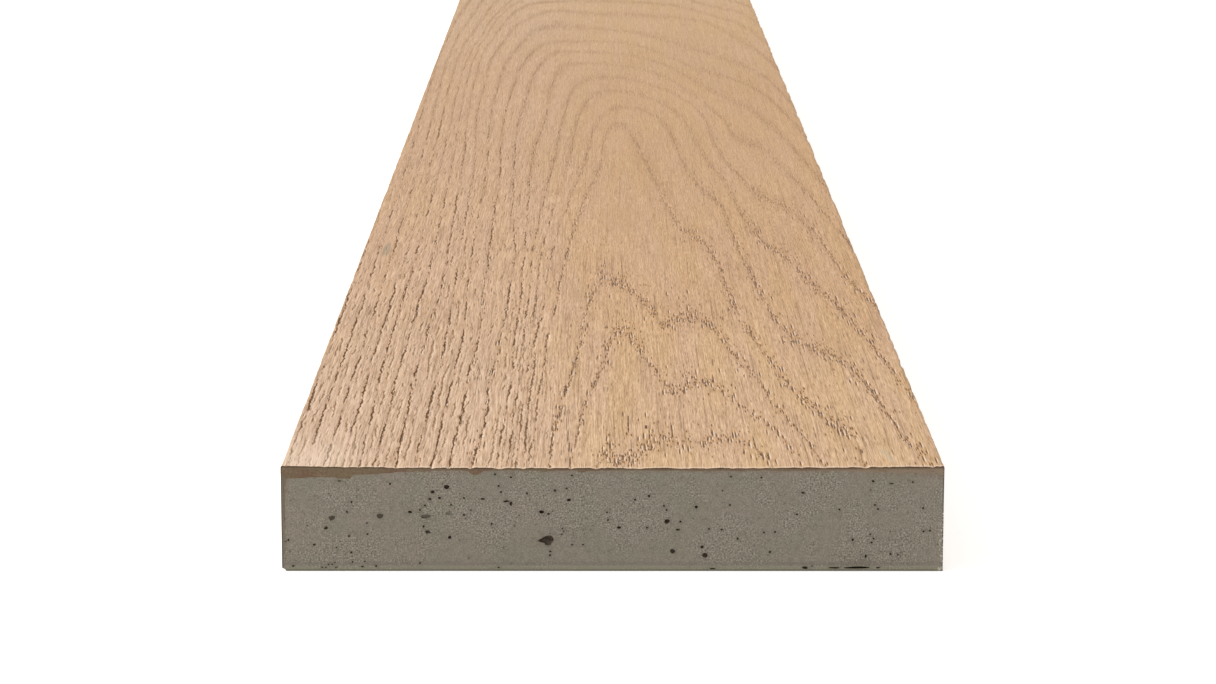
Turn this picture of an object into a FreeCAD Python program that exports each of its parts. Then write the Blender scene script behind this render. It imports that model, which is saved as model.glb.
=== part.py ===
"""Cast decking board with a moulded wood-grain face.

The board is cast face down: a thin coloured resin skin is laid in the mould first, and a mineral-filled
resin core is poured in behind it. Both ends are sawn square, so the layers show there. The core's top is
level and the face is slightly dished, so the skin is thinnest in the middle and thicker towards the edges.
Along the left edge it pooled in the mould and is thicker still. It wraps the sides, down to a foot of
bare core.

Millimetres. The board lies face up: length along Y, width along X, +Z up. The origin is the middle of
the underside.
"""

import FreeCAD
import Part

import math
import os

# The board's outside.
BOARD_LENGTH = 3600.0
BOARD_WIDTH = 200.0
BOARD_THICKNESS = 32.0  # at the middle of the width, where the face is lowest
FACE_DISH = 0.6  # how far the long edges stand above the middle of the face
FACE_STRIPS = 10  # side by side across the face, so that even a coarse mesh keeps its slight dish
ARRIS_RADIUS = 0.6  # along both long edges of the face

# The skin, as a sawn end shows it.
SKIN_MIDDLE = 0.65
SKIN_SIDE = 0.45  # on both side faces
POOL_DEPTH = 3.6  # the skin over the left edge, where the resin pooled in the mould
POOL_WIDTH = 20.0  # the pool's level part, measured from the side face
POOL_RUNOUT = 26.0  # from there to where the core's top is level again

CORE_CORNER_RADIUS = 1.0  # the core's upper corners, inside the skin
BARE_FOOT = 1.3  # height of bare core under the skin's lower edges


def point(x, z):
    """A point of the cross-section, in the plane of the near end."""
    return FreeCAD.Vector(x, -BOARD_LENGTH / 2, z)


def line(start, end):
    """A straight edge of the cross-section."""
    return Part.LineSegment(start, end).toShape()


def curve(start, middle, end):
    """A circular edge of the cross-section through three points."""
    return Part.Arc(start, middle, end).toShape()


def ogee(start, end):
    """Two tangent arcs, level at both ends, that carry the core's top from one height to another."""
    half_run = (end.x - start.x) / 2
    half_rise = (end.z - start.z) / 2
    radius = (half_run**2 + half_rise**2) / (2 * half_rise)
    half_turn = math.atan(half_rise / half_run)
    across = radius * math.sin(half_turn)
    up = radius * (1 - math.cos(half_turn))
    centre = (start + end) / 2
    first = curve(start, point(start.x + across, start.z + up), centre)
    second = curve(centre, point(end.x - across, end.z - up), end)
    return [first, second]


def dished_face():
    """The face's outline from right to left: equal strips of one wide arc, lowest in the middle."""
    half = BOARD_WIDTH / 2
    radius = (half**2 + FACE_DISH**2) / (2 * FACE_DISH)

    def on_face(x):
        return point(x, BOARD_THICKNESS + radius - math.sqrt(radius**2 - x**2))

    strip = BOARD_WIDTH / FACE_STRIPS
    starts = [half - strip * number for number in range(FACE_STRIPS)]
    return [curve(on_face(x), on_face(x - strip / 2), on_face(x - strip)) for x in starts]


def extrude_section(edges):
    """The solid that a closed cross-section makes over the board's whole length."""
    face = Part.Face(Part.Wire(edges))
    return face.extrude(FreeCAD.Vector(0, BOARD_LENGTH, 0))


def long_edges(solid, x, z, reach):
    """The edges that run the whole length within reach of one point of the section."""
    found = []
    for edge in solid.Edges:
        along = edge.valueAt(edge.FirstParameter) - edge.valueAt(edge.LastParameter)
        here = edge.CenterOfMass
        near = abs(here.x - x) < reach and abs(here.z - z) < reach
        if near and abs(along.y) > 0.99 * BOARD_LENGTH:
            found.append(edge)
    return found


def board_envelope():
    """The whole board as one solid: a plank with a dished face and eased edges."""
    half = BOARD_WIDTH / 2
    edge_height = BOARD_THICKNESS + FACE_DISH
    outline = [
        line(point(-half, 0), point(half, 0)),
        line(point(half, 0), point(half, edge_height)),
        *dished_face(),
        line(point(-half, edge_height), point(-half, 0)),
    ]
    plank = extrude_section(outline)
    arrises = []
    for side in (-half, half):
        arrises += long_edges(plank, side, edge_height, ARRIS_RADIUS)
    return plank.makeFillet(ARRIS_RADIUS, arrises)


def poured_core():
    """The core: a bare foot at full width, and a narrower body whose top falls away under the pool."""
    foot = BOARD_WIDTH / 2
    body = foot - SKIN_SIDE
    top_height = BOARD_THICKNESS - SKIN_MIDDLE
    pool_height = BOARD_THICKNESS + FACE_DISH - POOL_DEPTH
    top_right = point(body, top_height)
    shelf = point(-foot + POOL_WIDTH + POOL_RUNOUT, top_height)
    pool = point(-foot + POOL_WIDTH, pool_height)
    top_left = point(-body, pool_height)
    outline = [
        line(point(-foot, 0), point(foot, 0)),
        line(point(foot, 0), point(foot, BARE_FOOT)),
        line(point(foot, BARE_FOOT), point(body, BARE_FOOT)),
        line(point(body, BARE_FOOT), top_right),
        line(top_right, shelf),
        *ogee(shelf, pool),
        line(pool, top_left),
        line(top_left, point(-body, BARE_FOOT)),
        line(point(-body, BARE_FOOT), point(-foot, BARE_FOOT)),
        line(point(-foot, BARE_FOOT), point(-foot, 0)),
    ]
    core = extrude_section(outline)
    corners = long_edges(core, -body, pool_height, CORE_CORNER_RADIUS)
    corners += long_edges(core, body, top_height, CORE_CORNER_RADIUS)
    return core.makeFillet(CORE_CORNER_RADIUS, corners)


def moulded_skin(core):
    """The wood-grain skin: what the board's envelope holds outside the core."""
    return board_envelope().cut(core)


def write(name, shape):
    """Checks one finished piece and writes it as parts/NAME.step."""
    solid = shape.Solids[0]
    if len(shape.Solids) != 1 or not solid.isValid():
        raise ValueError(f"{name} is not one valid solid")
    solid.exportStep(f"parts/{name}.step")
    box = solid.BoundBox
    size = f"{box.XLength:.2f} x {box.YLength:.2f} x {box.ZLength:.2f}"
    print(f"{name}: {size} mm, {solid.Volume / 1000:.1f} cm3")


def main():
    os.makedirs("parts", exist_ok=True)
    core = poured_core()
    write("mineral_resin_core", core)
    write("wood_grain_skin", moulded_skin(core))


main()
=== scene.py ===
"""The looks of a cast decking board.

The board is a grey mineral-filled resin core, full of small bubbles, behind a thin coloured skin that was
moulded on brushed oak. The near end is sawn, so the core, its bubbles and the skin's edge show there.

Numbers are millimetres in the part's frame unless they are called pixels, and pixels are those of the
1216 x 684 photograph. Meshes are scaled to metres when they are made.
"""

import math

import bpy
import numpy as np
from mathutils import Matrix, Vector
from mathutils.geometry import delaunay_2d_cdt


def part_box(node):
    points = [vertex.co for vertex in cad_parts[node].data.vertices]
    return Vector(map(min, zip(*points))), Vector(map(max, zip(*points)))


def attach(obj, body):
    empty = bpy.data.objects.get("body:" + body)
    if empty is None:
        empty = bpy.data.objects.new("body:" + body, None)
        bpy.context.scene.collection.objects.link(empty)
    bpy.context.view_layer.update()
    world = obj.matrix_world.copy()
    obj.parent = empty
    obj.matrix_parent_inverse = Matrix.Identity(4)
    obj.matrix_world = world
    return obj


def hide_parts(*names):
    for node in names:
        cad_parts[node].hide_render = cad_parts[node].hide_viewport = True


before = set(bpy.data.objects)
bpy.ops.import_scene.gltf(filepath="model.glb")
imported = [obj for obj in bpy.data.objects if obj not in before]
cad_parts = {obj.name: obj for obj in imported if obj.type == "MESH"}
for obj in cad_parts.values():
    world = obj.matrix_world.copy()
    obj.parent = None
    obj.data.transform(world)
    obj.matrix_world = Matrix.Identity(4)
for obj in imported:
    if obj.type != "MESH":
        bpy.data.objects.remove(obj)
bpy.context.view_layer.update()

METRES = 0.001

# The board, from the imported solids.
core_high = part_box("mineral_resin_core")[1] / METRES
skin_low, skin_high = (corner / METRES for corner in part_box("wood_grain_skin"))
HALF_WIDTH = skin_high.x
NEAR_END = skin_low.y
FAR_END = skin_high.y
FOOT = skin_low.z  # the bare core's height under the skin's lower edges
EDGE_TOP = skin_high.z
CORE_TOP = core_high.z

# What the solids have inside their boxes.
FACE_DISH = 0.6
ARRIS = 0.6
SKIN_SIDE = 0.45
CORE_CORNER = 1.0
POOL_FLOOR = 29.0
POOL_EDGE = -80.0
POOL_END = -54.0

# The photograph's camera.
IMAGE_WIDTH = 1216
IMAGE_HEIGHT = 684
FOCAL_PIXELS = 3691.74
CAMERA_PLACE = np.array([-4.193, -2884.678, 277.910])
CAMERA_DOWN = math.radians(10.823)
CAMERA_TURN = math.radians(0.147)
CAMERA_ROLL = math.radians(0.048)
SENSOR = 36.0

# Growth rings where they cross the face: (across from the middle, along from the near end), read one by one.
RING_LINES = {
    0: [(-4, 12), (3, 14), (8, 20), (12, 36), (25, 35), (33, 39), (39, 41), (43, 30), (46, 19), (48.6, 2)],
    1: [
        (-12.7, 3), (-11, 46), (-8.6, 99), (-3.7, 146), (0, 206), (3.5, 228), (7, 218), (10.5, 186),
        (15, 153), (21, 120), (26, 130), (35, 126), (41, 96), (48, 69), (53, 46), (57, 3),
    ],
    2: [
        (-18.7, 3), (-17, 80), (-13.7, 135), (-11, 199), (-8.7, 266), (-6, 313), (1.3, 330), (6.5, 319),
        (11, 293), (15, 279), (19, 240), (25, 252), (34, 247), (39.7, 213), (44.7, 163), (50, 133),
        (52, 100), (57, 66), (64, 3),
    ],
    3: [
        (-25.3, 3), (-24.5, 99), (-22.8, 179), (-20.8, 262), (-18.7, 350), (-15, 450), (-10, 550),
        (-3, 660), (-1.5, 740), (4, 799), (12.5, 760), (16.5, 690), (22, 595), (26, 525), (31, 460),
        (38, 426), (44, 360), (45.5, 299), (48.8, 233), (54, 179), (60.5, 117), (66.5, 85), (69.3, 63),
        (75.4, 53), (76.6, 32), (76.3, 3),
    ],
    4: [
        (-26.8, 3), (-26.6, 200), (-24.5, 330), (-21, 450), (-16, 560), (-11, 650), (-8, 730), (-5, 800),
        (1, 850), (9, 868), (19, 858), (30.5, 795), (34.7, 693), (43, 567), (51, 507), (53, 400), (57, 313),
        (62, 233), (69.7, 193), (78, 176), (83.8, 139), (88, 93), (91, 46), (96, 6),
    ],
    5: [
        (-29, 3), (-28.8, 200), (-28, 330), (-26, 450), (-22.5, 560), (-19, 650), (-17, 740), (-14, 840),
        (-9, 905), (0, 937), (10, 938), (23, 908), (37, 840), (42, 780), (46, 700), (53, 600), (57, 507),
        (62, 440), (71, 385), (78, 323), (86, 266), (92, 199), (96, 146), (99.8, 98),
    ],
    6: [
        (-32, 3), (-31, 140), (-30.5, 260), (-31, 400), (-28.5, 535), (-24.7, 705), (-22.5, 820),
        (-20, 910), (-14, 975), (-5, 1003), (6, 1003), (17, 988), (29, 957), (39, 918), (47, 870),
        (51, 820), (52, 770), (57, 650), (66, 567), (80, 503), (86, 453), (91, 366), (95, 310), (99, 278),
    ],
    7: [
        (-35, 3), (-33.5, 140), (-33.5, 260), (-34.5, 400), (-36.4, 618), (-34.9, 721), (-31.6, 819),
        (-31.3, 878), (-30.7, 949), (-28.5, 1006), (-25.5, 1045), (-21, 1066), (-12, 1074), (-3.5, 1072),
        (9, 1062), (22, 1042), (34, 1002), (45, 935), (53.6, 878), (60.4, 815), (63.9, 750), (68.8, 730),
        (75, 707), (84, 620), (90, 553), (96, 467), (99, 420),
    ],
    8: [
        (-43, 3), (-41, 126), (-38.7, 253), (-38, 400), (-42, 530), (-45, 700), (-45.2, 823), (-43.6, 873),
        (-43, 931), (-41.6, 1006), (-38.9, 1050), (-36, 1092), (-32.8, 1118), (-28.2, 1132), (-20.3, 1133),
        (-5.3, 1130), (9, 1124), (24, 1100), (37, 1055), (48, 1000), (57, 945), (66, 905), (76, 860),
        (82.7, 801), (88, 747), (92, 690), (99, 575),
    ],
    9: [
        (-49.5, 3), (-47.3, 200), (-49, 400), (-50, 600), (-52.5, 740), (-53, 844), (-52.4, 908),
        (-51.1, 972), (-50.6, 1025), (-48.5, 1066), (-45.8, 1108), (-41.7, 1148), (-37.2, 1173),
        (-31.2, 1185), (-20.8, 1191), (-5.9, 1194), (4, 1191), (18, 1172), (31, 1130), (42, 1088),
        (51, 1050), (60.7, 1024), (65.9, 1008), (72.8, 992), (79, 963), (84.5, 936), (90.3, 883), (94, 832),
        (98, 770),
    ],
    10: [
        (-54.7, 3), (-52.8, 200), (-56, 430), (-56.5, 600), (-59, 750), (-60.4, 827), (-60.4, 922),
        (-59.9, 967), (-59.3, 1030), (-58.1, 1076), (-56, 1113), (-53.3, 1151), (-50.5, 1196),
        (-46.9, 1237), (-41.7, 1265), (-35.6, 1283), (-29.2, 1289), (-21.4, 1280), (-13, 1271),
        (-3.4, 1265), (9.2, 1254), (24, 1232), (40, 1196), (54, 1150), (66, 1110), (75, 1080), (83.4, 1046),
        (88.9, 1011), (94.6, 950), (99, 880),
    ],
    11: [
        (-59.7, 3), (-58.3, 200), (-61, 430), (-63, 640), (-67.8, 831), (-68.2, 895), (-67.6, 944),
        (-67.8, 1006), (-68.4, 1066), (-67.2, 1107), (-65.2, 1143), (-62.3, 1196), (-59.8, 1249),
        (-56.9, 1289), (-52.8, 1311), (-48.7, 1337), (-43.2, 1363), (-35.5, 1380), (-28.8, 1383),
        (-20, 1372), (-10, 1364), (4, 1360), (22, 1356), (40, 1342), (56.7, 1325), (65.5, 1306),
        (73.2, 1268), (77.9, 1238), (82, 1203), (86.4, 1175), (92, 1130), (98, 1060),
    ],
    12: [
        (-65.3, 3), (-66.5, 140), (-64.5, 300), (-66, 480), (-69, 680), (-72.5, 819), (-73.6, 904),
        (-73.6, 977), (-74, 1071), (-73, 1134), (-71.5, 1173), (-69.2, 1214), (-66.5, 1267), (-63.6, 1324),
        (-61, 1363), (-57, 1392), (-52.2, 1419), (-45, 1434), (-30, 1446), (0, 1450), (24, 1441),
        (50.7, 1411), (63.2, 1370), (75.2, 1331), (84.1, 1306), (87.7, 1281), (91.9, 1256), (96.2, 1209),
    ],
    13: [
        (-72, 3), (-72, 190), (-71, 370), (-73, 600), (-76, 820), (-78, 950), (-78.5, 1080), (-77, 1170),
        (-74, 1250), (-71, 1320), (-66, 1390), (-60, 1435),
    ],
    14: [
        (-76.6, 3), (-78.5, 200), (-78, 400), (-79, 650), (-80.8, 844), (-81.5, 904), (-82.1, 977),
        (-82, 1055), (-80.7, 1118), (-78.6, 1185), (-76.7, 1243), (-73.8, 1317), (-70.1, 1376), (-66, 1430),
    ],
    15: [
        (-81.5, 3), (-82.3, 200), (-82, 400), (-83.5, 650), (-85.6, 844), (-86.7, 926), (-87.5, 1015),
        (-87.7, 1097), (-86.7, 1168), (-83.9, 1231), (-81.9, 1286), (-79.6, 1337), (-77.2, 1390),
        (-75, 1440),
    ],
    16: [
        (-87, 3), (-87, 200), (-87.8, 400), (-89, 650), (-91, 850), (-92.5, 986), (-93.4, 1076),
        (-92.7, 1151), (-91.9, 1225), (-89.6, 1286), (-87.5, 1337), (-85.9, 1390), (-84, 1440),
    ],
    17: [
        (-92.7, 3), (-92.5, 200), (-93.5, 400), (-95, 700), (-98, 950), (-99, 1100), (-97, 1300),
        (-93, 1430),
    ],
}

# The pattern's plain form, which carries it past the photograph's edge: (along, ring) and (along, across).
MIDDLE_RING = [(0, -0.1), (220, 1.0), (420, 2.1), (800, 3.0), (868, 4.0), (938, 5.0), (1003, 6.0),
               (1072, 7.0), (1130, 8.0), (1194, 9.0), (1272, 10.0), (1366, 11.0), (1450, 12.0), (1900, 15.5),
               (2400, 16.8), (2900, 15.0), (3300, 10.0), (3600, 5.5)]
MIDDLE_PLACE = [(0, 20.0), (330, 8.0), (800, 4.0), (1450, -8.0), (2200, 14.0), (2900, 2.0), (3600, -18.0)]
LEFT_SPACING = 5.6
RIGHT_SPACING = 12.5
ARCH_FLATNESS = 2.2
READ_TO = 1450.0
READ_FADE = 700.0
RING_CELL = (8.0, 70.0)
RING_SMOOTHING = 0.02

# The seam between skin and core on the sawn end, in pixels.
SEAM = [
    (287, 478.6), (304, 478.2), (307, 477.3), (320, 477.0), (334, 477.4), (337, 478.6), (350, 478.9),
    (353, 475.4), (362, 474.8), (375, 474.4), (384, 473.2), (393, 472.8), (402, 471.6), (412, 471.4),
    (419, 470.6), (423, 471.8), (428, 470.2), (436, 470.4), (443, 469.9), (452, 470.2), (462, 470.0),
    (468, 470.8), (472, 474.2), (476, 475.0), (480, 472.8), (484, 470.4), (496, 470.2), (510, 470.0),
    (524, 470.3), (538, 470.2), (543, 472.0), (548, 470.6), (560, 470.1), (576, 470.2), (582, 472.4),
    (588, 470.8), (600, 470.2), (622, 470.5), (640, 470.1), (660, 470.4), (684, 470.2), (700, 470.9),
    (722, 470.3), (744, 470.6), (766, 470.2), (790, 470.8), (812, 470.4), (836, 470.9), (850, 471.3),
    (866, 472.3), (884, 472.0), (900, 472.7), (916, 473.1), (930, 472.4), (941, 472.8),
]

# Bubbles on the sawn end, in pixels: (across, down), then what differs from the usual width, height and
# darkness. The darkness is painted shade in the bubble, and it also scales the bubble's depth. A shallow
# bubble is less dark.
USUAL_BUBBLE = (2.4, 2.2, 1.0)
BUBBLES = [
    (331.8, 518, 7, 4.6, 0.7), (326, 528, 4.2, 3.4, 0.75), (347, 512, 2.6, 2.2), (380, 516, 6.4, 5.6, 0.7),
    (367, 523, 2.6, 2.6, 0.5), (410, 512, 4.6, 2.5), (420, 510), (425, 505.5, 2.5, 2.2),
    (425.5, 516.6, 9.6, 4.4, 0.55), (423.6, 526.5, 2.6, 2.4), (427.7, 532, 5, 3.6, 0.8), (451, 505),
    (449, 513.4, 5.6, 5, 0.3), (464, 515, 2.6, 2.3), (449.7, 537.4, 3.5, 3.3), (349, 536, 2.3, 2.3),
    (314.3, 544.6, 3, 2.4), (351.4, 552.4, 2.6, 2.2), (367.5, 534), (288.4, 540, 2.4, 2.4),
    (390, 484, 2.4, 2.4), (446.6, 487, 6, 4), (432.5, 492, 4.5, 3), (430, 499, 3, 2.6),
    (439.5, 498, 3.4, 2), (464, 498), (482.7, 499, 4.5, 2), (351.5, 502), (495, 474.4, 2.6, 2.6),
    (511, 477.4), (498.6, 486, 2.6, 2.2), (501, 492), (527, 493.5, 2.3, 2.6), (555, 490.5, 3, 2.8),
    (566.6, 488.4), (569, 500, 4.4, 2.6), (572, 475.6), (541.6, 512, 5, 3.6), (548.4, 514, 2.8, 2.6),
    (491.6, 524), (550.4, 551.4, 2.6, 2), (550, 555.2, 2.8, 2), (562.4, 528.6, 1.8, 1.4),
    (563.6, 531.2, 2, 1.6), (561.8, 534.2, 2, 1.6), (572.2, 544.8, 2.6, 1.6), (583, 544.6, 2.6, 1.5),
    (607, 512.5), (608, 520), (619, 527.5, 4, 3), (635, 499.6, 2.4, 2.4), (649, 496, 3, 2.6),
    (647, 527.7, 2.5, 2.3), (664, 506), (666.5, 510, 2.3, 2.2), (667, 521.4, 5.5, 4.5),
    (672.6, 551.3, 5, 5, 0.8), (678, 529.7, 4, 2.5), (680.4, 521.7, 2.5, 2.3), (696.3, 507, 3.5, 3),
    (709, 529), (721.6, 529.6), (702, 547, 3.5, 3), (705, 555.3, 5.5, 5, 0.85), (730, 505),
    (731, 476.7, 2.4, 2), (737.8, 538.6, 2.5, 2.4), (761.4, 477.7, 2.5, 2), (764, 532.5, 2.3, 2.2),
    (775, 532), (770, 552, 2.8, 2.6), (797, 514.5), (803, 492.8, 4, 2), (839.5, 509.6, 2.4, 2.4),
    (852.8, 539.8, 3, 2.8), (873.2, 481.3, 3, 2.6), (891.6, 483.6, 5, 1.2), (912.9, 482.1, 2.4, 2),
    (875, 505), (878, 509), (923, 508.2, 2.5, 2.2), (923.6, 531.4, 2.4, 2.3), (930, 530.6),
    (870.4, 534.4, 2.2, 2), (873.6, 538.6, 2.2, 2), (871.6, 542.7, 2.8, 2), (865.7, 556.2, 2.4, 3.4),
    (890.6, 554, 2.4, 2.8), (898, 554.8, 2.2, 2), (339.4, 481, 4, 1.2), (336.6, 547.6, 1.8, 1.6),
    (352.7, 561.9, 2.2, 1.8), (365, 561.4, 2, 1.8), (293.3, 566, 3, 2), (322.3, 567.2, 2.4, 1.6),
    (325.9, 567.3, 2, 1.8), (328.6, 564.7, 2.2, 1.5), (332.1, 564.3, 2.4, 1.4), (334.8, 562.4, 1.8, 1.4),
    (336.2, 567.2, 3, 1.3), (362.5, 566.5, 2.8, 2), (376.3, 566, 2.8, 2), (420, 563, 2.4, 2),
    (498.6, 567.6, 2.6, 1.6), (712.6, 568.6, 6, 1.4), (805, 567.7, 6, 2.6), (834.3, 567.8, 10.8, 1.7),
    (857, 567.6, 26, 2.3), (878, 567.7, 4, 1.7), (812, 566, 2, 1.4),
]

# One bubble's own outline, in pixels.
LENS_BUBBLE = [
    (537.9, 540.4), (541.5, 538.3), (544.6, 536.5), (548.5, 535.5), (551.7, 536.0), (553.6, 538.3),
    (553.8, 541.0), (552.0, 543.0), (551.0, 545.3), (547.8, 545.7), (545.2, 545.0), (544.4, 543.3),
    (541.5, 542.6), (538.9, 541.5),
]
HOOKED_BUBBLES = [(506.4, 501.3, 6.2, 2.2), (510.9, 503.7, 3.0, 4.2)]  # two that touch, like a comma

# Single marks on the face, in millimetres: (across, along, half width, half length, how dark).
FLECKS = [
    (5.25, 71.0, 0.22, 5.0, 0.9), (5.2, 62.5, 0.26, 4.0, 0.95), (5.15, 54.0, 0.2, 4.0, 0.8),
    (5.9, 31.0, 0.16, 9.0, 0.5), (10.8, 58.6, 0.42, 2.6, 0.95), (18.6, 66.0, 0.14, 12.0, 0.45),
    (18.9, 49.0, 0.22, 6.5, 0.8), (-15.0, 84.0, 0.2, 9.0, 0.6), (-14.4, 64.0, 0.16, 11.0, 0.55),
    (-13.8, 45.0, 0.2, 8.0, 0.75), (-13.3, 29.0, 0.24, 7.0, 0.85), (-12.9, 8.0, 0.26, 7.0, 0.8),
]

# Grey smears and soft brown patches: (across, along, lean, half width, half length, how strong, colour).
SMUDGES = [
    (-90.6, 399.0, 0.0, 1.9, 20.0, 0.6, (138, 124, 104)),
    (84.0, 15.0, -0.13, 1.3, 12.0, 0.5, (190, 172, 146)),
    (5.0, 487, 0.0, 10.0, 45, 0.4, (184, 146, 108)),
    (21.0, 383, 0.0, 3.5, 38, 0.4, (184, 148, 110)),
    (-11.5, 303, 0.0, 4.5, 24, 0.35, (180, 148, 108)),
    (11.0, 155, 0.0, 3.0, 30, 0.35, (184, 148, 110)),
    (74.0, 190, 0.0, 14.0, 45, 0.2, (186, 150, 112)),
]

# Where the face's sawn edge sags: (across, half width, how deep).
EDGE_SAGS = [
    (-54.3, 0.7, 0.3), (-49.5, 0.4, 0.36), (-42.9, 0.6, 0.36), (-33.9, 1.2, 0.3), (-26.9, 0.6, 0.2),
    (-19.1, 0.5, 0.3), (-12.5, 0.5, 0.24), (-5.3, 1.1, 0.26), (70.8, 0.6, 0.2), (76.5, 0.8, 0.3),
    (96.6, 0.6, 0.2),
]

# The seam on the far sawn end dips here: (across, how deep), and each dip is this wide.
FAR_DIPS = [(-31, 0.8), (-12, 0.5), (24, 0.9), (47, 0.5), (71, 0.7)]
FAR_DIP_WIDTH = 1.6
THINNEST_SKIN = 0.56
SEAM_POINTS = 331

# The near left lower corner is chipped: its outline, and how far the chip runs along the board.
CHIP = [(-98.75, 0.0), (-98.95, 0.45), (-99.55, 0.75), (-100.0, 0.95)]
CHIP_LENGTH = 4.0
UNDER_POINTS = 43  # of the core's outline lie on its underside, the last three of them at that corner

# How finely the skin's outside is divided.
FACE_COLUMNS = 400
SIDE_COLUMNS = 6
ARRIS_COLUMNS = 3

# Stretches of the skin's mesh: (where it ends along the board, row length, face columns per quad).
STRETCHES = [(380, 3.8, 1), (1500, 8.0, 2), (3520, 16.0, 4), (3600, 8.0, 2)]

# The loops of points that make a bubble, as shares of its rim and of its depth.
BUBBLE_STEPS = [(0.92, 0.39), (0.70, 0.71), (0.35, 0.94)]

# The lights, in metres and watts: (name, place, the point that it faces, size, power).
LIGHTS = [
    ("key", (-2.4, -2.2, 1.9), (0.0, -0.9, 0.0), 1.6, 68.5),
    ("fill", (-2.4, 2.6, 1.9), (0.0, 1.8, 0.0), 1.6, 45.0),
]
SURROUNDINGS = 0.75


def camera_axes():
    """Right, up and forward of the photograph's camera."""
    forward = np.array([
        math.sin(CAMERA_TURN) * math.cos(CAMERA_DOWN),
        math.cos(CAMERA_TURN) * math.cos(CAMERA_DOWN),
        -math.sin(CAMERA_DOWN),
    ])
    level = np.cross(forward, [0, 0, 1])
    level /= np.linalg.norm(level)
    lift = np.cross(level, forward)
    right = math.cos(CAMERA_ROLL) * level + math.sin(CAMERA_ROLL) * lift
    up = -math.sin(CAMERA_ROLL) * level + math.cos(CAMERA_ROLL) * lift
    return right, up, forward


def on_near_end(pixel_x, pixel_y):
    """The point (across, up) of the sawn end that a pixel shows."""
    right, up, forward = camera_axes()
    ray = (
        forward * FOCAL_PIXELS
        + right * (pixel_x - IMAGE_WIDTH / 2)
        + up * (IMAGE_HEIGHT / 2 - pixel_y)
    )
    hit = CAMERA_PLACE + ray * (NEAR_END - CAMERA_PLACE[1]) / ray[1]
    return hit[0], hit[2]


def smooth(value, start, end):
    """A soft step from 0 at start to 1 at end."""
    t = np.clip((value - start) / (end - start), 0, 1)
    return t * t * (3 - 2 * t)


def wander(x, y, cell_x, cell_y, seed):
    """Smooth noise from -1 to 1 on a grid of cells."""
    size = 256
    table = np.random.default_rng(seed).uniform(-1, 1, (size, size))
    gx, gy = np.asarray(x) / cell_x + 37.3, np.asarray(y) / cell_y + 11.7
    ix, iy = np.floor(gx).astype(int), np.floor(gy).astype(int)
    fx, fy = gx - ix, gy - iy
    fx, fy = fx * fx * (3 - 2 * fx), fy * fy * (3 - 2 * fy)

    def corner(dx, dy):
        return table[(ix + dx) % size, (iy + dy) % size]

    near = corner(0, 0) * (1 - fx) + corner(1, 0) * fx
    far = corner(0, 1) * (1 - fx) + corner(1, 1) * fx
    return near * (1 - fy) + far * fy


# The growth rings.


def through_keys(value, keys):
    """A smooth curve through (place, height) keys."""
    places = np.array([k[0] for k in keys], float)
    heights = np.array([k[1] for k in keys], float)
    slopes = np.gradient(heights, places)
    i = np.clip(np.searchsorted(places, value) - 1, 0, len(keys) - 2)
    step = places[i + 1] - places[i]
    t = np.clip((value - places[i]) / step, 0, 1)
    return (
        heights[i] * (2 * t**3 - 3 * t**2 + 1)
        + slopes[i] * step * (t**3 - 2 * t**2 + t)
        + heights[i + 1] * (3 * t**2 - 2 * t**3)
        + slopes[i + 1] * step * (t**3 - t**2)
    )


def plain_rings(x, y):
    """Nested arches: few rings in the middle of the face and many along its edges."""
    offset = x - through_keys(y, MIDDLE_PLACE)
    rise = offset / np.where(offset < 0, LEFT_SPACING, RIGHT_SPACING)
    base = np.maximum(through_keys(y, MIDDLE_RING) + ARCH_FLATNESS, 0.3)
    return np.sqrt(rise**2 + base**2) - ARCH_FLATNESS


def bend(squared_distance):
    """The thin plate's response to one point."""
    return 0.5 * squared_distance * np.log(squared_distance + 1e-12)


def ring_points():
    """The read lines as points, with more between those that lie far apart."""
    rows = []
    for ring, line in RING_LINES.items():
        for (x0, y0), (x1, y1) in zip(line, line[1:]):
            count = max(1, round(max(abs(x1 - x0) / 12, abs(y1 - y0) / 90)))
            for step in range(count):
                t = step / count
                rows.append((x0 + (x1 - x0) * t, y0 + (y1 - y0) * t, ring))
        rows.append((*line[-1], ring))
    return np.array(rows, float)


def fit_rings():
    """A thin plate through what the read lines add to the plain pattern."""
    rows = ring_points()
    places = rows[:, :2] / RING_CELL
    rest = rows[:, 2] - plain_rings(rows[:, 0], rows[:, 1])
    count = len(rows)
    apart = ((places[:, None] - places[None]) ** 2).sum(2)
    plane = np.hstack([np.ones((count, 1)), places])
    system = np.zeros((count + 3, count + 3))
    system[:count, :count] = bend(apart) + RING_SMOOTHING * np.eye(count)
    system[:count, count:] = plane
    system[count:, :count] = plane.T
    weights = np.linalg.solve(system, np.append(rest, np.zeros(3)))
    return places, weights


def rings(x, y, fitted):
    """The ring number at points of the face, which is whole on each ring line."""
    places, weights = fitted
    near_x = np.clip(x, -HALF_WIDTH - 1, HALF_WIDTH + 1) / RING_CELL[0]
    near_y = np.minimum(y, READ_TO + 150) / RING_CELL[1]
    added = np.zeros(len(x))
    for part in np.array_split(np.arange(len(x)), max(1, len(x) // 20000)):
        dx = near_x[part, None] - places[None, :, 0]
        dy = near_y[part, None] - places[None, :, 1]
        added[part] = bend(dx**2 + dy**2) @ weights[:-3]
    added += weights[-3] + weights[-2] * near_x + weights[-1] * near_y
    return plain_rings(x, y) + added * (1 - smooth(y, READ_TO, READ_TO + READ_FADE))


# The board's section.


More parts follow.
